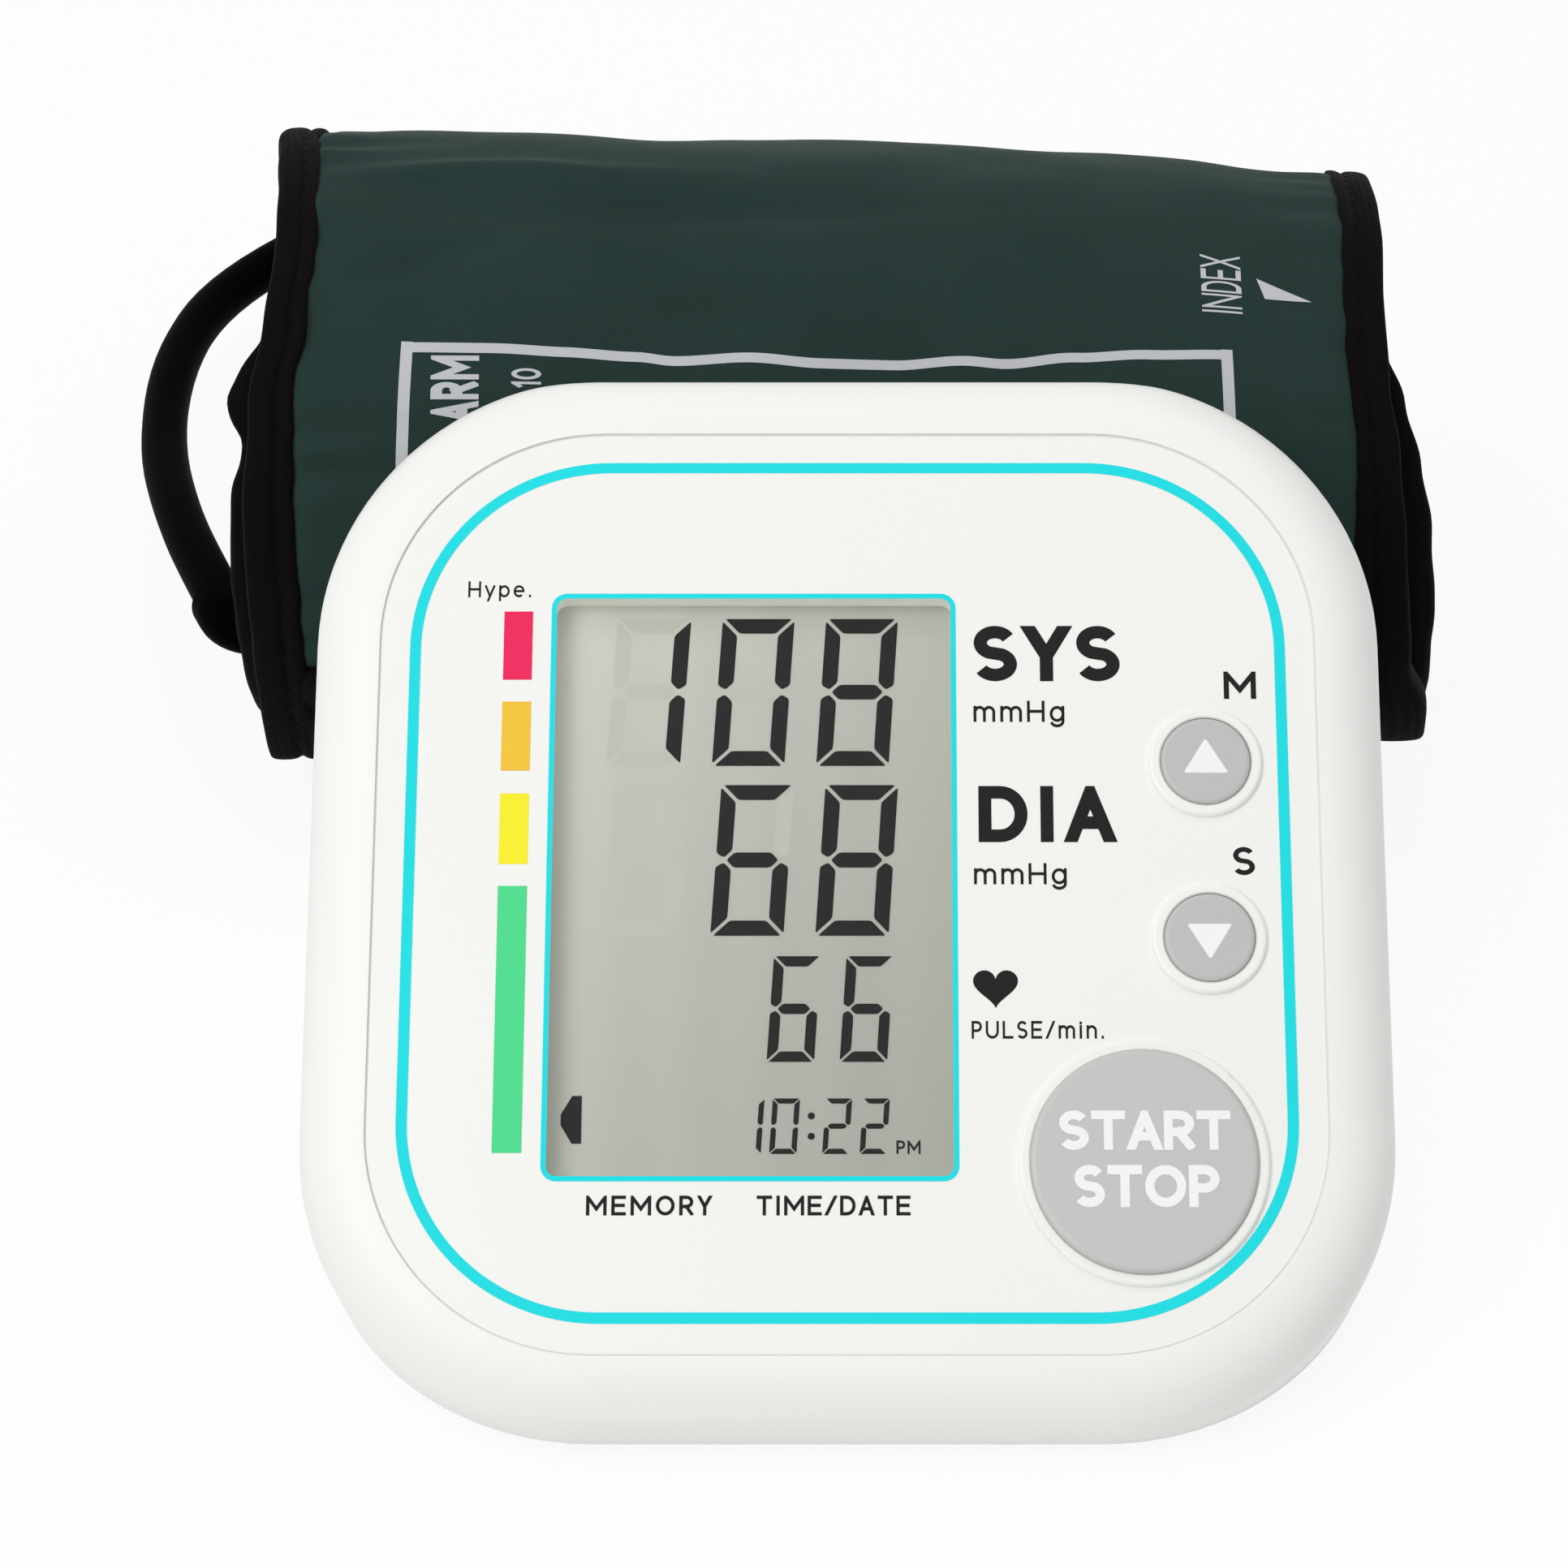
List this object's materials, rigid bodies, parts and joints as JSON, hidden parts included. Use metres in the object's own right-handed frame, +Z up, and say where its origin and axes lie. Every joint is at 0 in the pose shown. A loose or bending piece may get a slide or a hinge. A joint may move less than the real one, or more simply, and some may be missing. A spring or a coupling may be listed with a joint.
{
  "type": "upper arm blood pressure monitor",
  "caption": "Desk-top blood pressure monitor with a sloping display panel and push buttons, and its rolled fabric arm cuff on a coiled air hose.",
  "frame": {"origin": "on the table under the middle of the box round the monitor and the cuff, without the hose", "axes": "+Z up from the table, +Y from the monitor's front towards the cuff behind it, +X to the right as the display is read"},
  "size_m": [0.1776, 0.2701, 0.0814],
  "materials": {
    "housing_white": "satin",
    "panel_white": "gloss",
    "clear_window": "polished",
    "display_glass": "polished",
    "reflector_sheet": "satin",
    "frame_plastic": "matte",
    "contact_rubber": "matte",
    "board_green": "satin",
    "button_grey": "satin",
    "switch_tip": "matte",
    "motor_steel": "brushed",
    "contact_steel": "satin",
    "cell_can": "satin",
    "pump_plastic": "matte",
    "winding_copper": "satin",
    "soft_rubber": "matte",
    "tube_silicone": "satin",
    "socket_plastic": "satin",
    "cuff_nylon": "woven",
    "cuff_binding": "woven tape",
    "cuff_core": "matte",
    "bladder_rubber": "matte",
    "hose_rubber": "satin",
    "hose_fitting": "satin"
  },
  "bodies": {
    "monitor": {"front_shell": "housing_white", "rear_shell": "housing_white", "face_panel": "panel_white", "display_lens": "clear_window", "lcd_glass": "display_glass", "lcd_reflector": "reflector_sheet", "lcd_frame": "frame_plastic", "tact_switches": "frame_plastic", "controller_chip": "frame_plastic", "buzzer": "frame_plastic", "contact_strips": "contact_rubber", "main_board": "board_green", "pressure_sensor": "switch_tip", "pump_motor": "motor_steel", "battery_springs": "contact_steel", "battery_plates": "contact_steel", "case_screws": "contact_steel", "board_screws": "contact_steel", "battery_cells": "cell_can", "pump_body": "pump_plastic", "pump_cover": "pump_plastic", "air_manifold": "pump_plastic", "valve_body": "pump_plastic", "socket_nut": "pump_plastic", "valve_coil": "winding_copper", "rubber_feet": "soft_rubber", "pump_saddles": "soft_rubber", "pump_diaphragm": "soft_rubber", "pump_tube": "tube_silicone", "valve_tube": "tube_silicone", "sensor_tube": "tube_silicone", "socket_tube": "tube_silicone", "air_socket": "socket_plastic"},
    "start_button": {"start_button": "button_grey", "start_plunger": "switch_tip"},
    "memory_button": {"memory_button": "button_grey", "memory_plunger": "switch_tip"},
    "set_button": {"set_button": "button_grey", "set_plunger": "switch_tip"},
    "battery_door": {"battery_door": "housing_white"},
    "pump_crank": {"pump_crank": "motor_steel"},
    "valve_plunger": {"valve_plunger": "motor_steel"},
    "cuff": {"cuff_cover": "cuff_nylon", "cuff_lining": "cuff_nylon", "cuff_stiffener": "cuff_core", "cuff_bladder": "bladder_rubber", "left_binding": "cuff_binding", "right_binding": "cuff_binding", "end_hems": "cuff_binding", "hook_patch": "cuff_binding", "hose_elbow": "hose_rubber", "hose_run": "hose_rubber", "hose_coil": "hose_rubber", "hose_tie": "hose_fitting", "air_plug": "hose_fitting"}
  },
  "joints": [
    {"name": "start_press", "type": "slide", "parent": "monitor", "child": "start_button", "axis": [0, 0.5736, -0.8192], "range_m": [0, 0.0008], "stiffness_N_per_m": 1500},
    {"name": "memory_press", "type": "slide", "parent": "monitor", "child": "memory_button", "axis": [0, 0.5736, -0.8192], "range_m": [0, 0.0006], "stiffness_N_per_m": 1500},
    {"name": "set_press", "type": "slide", "parent": "monitor", "child": "set_button", "axis": [0, 0.5736, -0.8192], "range_m": [0, 0.0006], "stiffness_N_per_m": 1500},
    {"name": "battery_door_hinge", "type": "hinge", "parent": "monitor", "child": "battery_door", "pos_m": [0.0571, -0.03341, 0.0026], "axis": [0, -1, 0], "range_deg": [0, 100]},
    {"name": "pump_spin", "type": "hinge", "parent": "monitor", "child": "pump_crank", "pos_m": [-0.0294, -0.02346, 0.0187], "axis": [1, 0, 0], "continuous": true},
    {"name": "valve_stroke", "type": "slide", "parent": "monitor", "child": "valve_plunger", "axis": [1, 0, 0], "range_m": [0, 0.001], "stiffness_N_per_m": 100},
    {"name": "cuff_lift", "type": "slide", "parent": "monitor", "child": "cuff", "axis": [0, 0, 1], "range_m": [0, 0.12]}
  ]
}
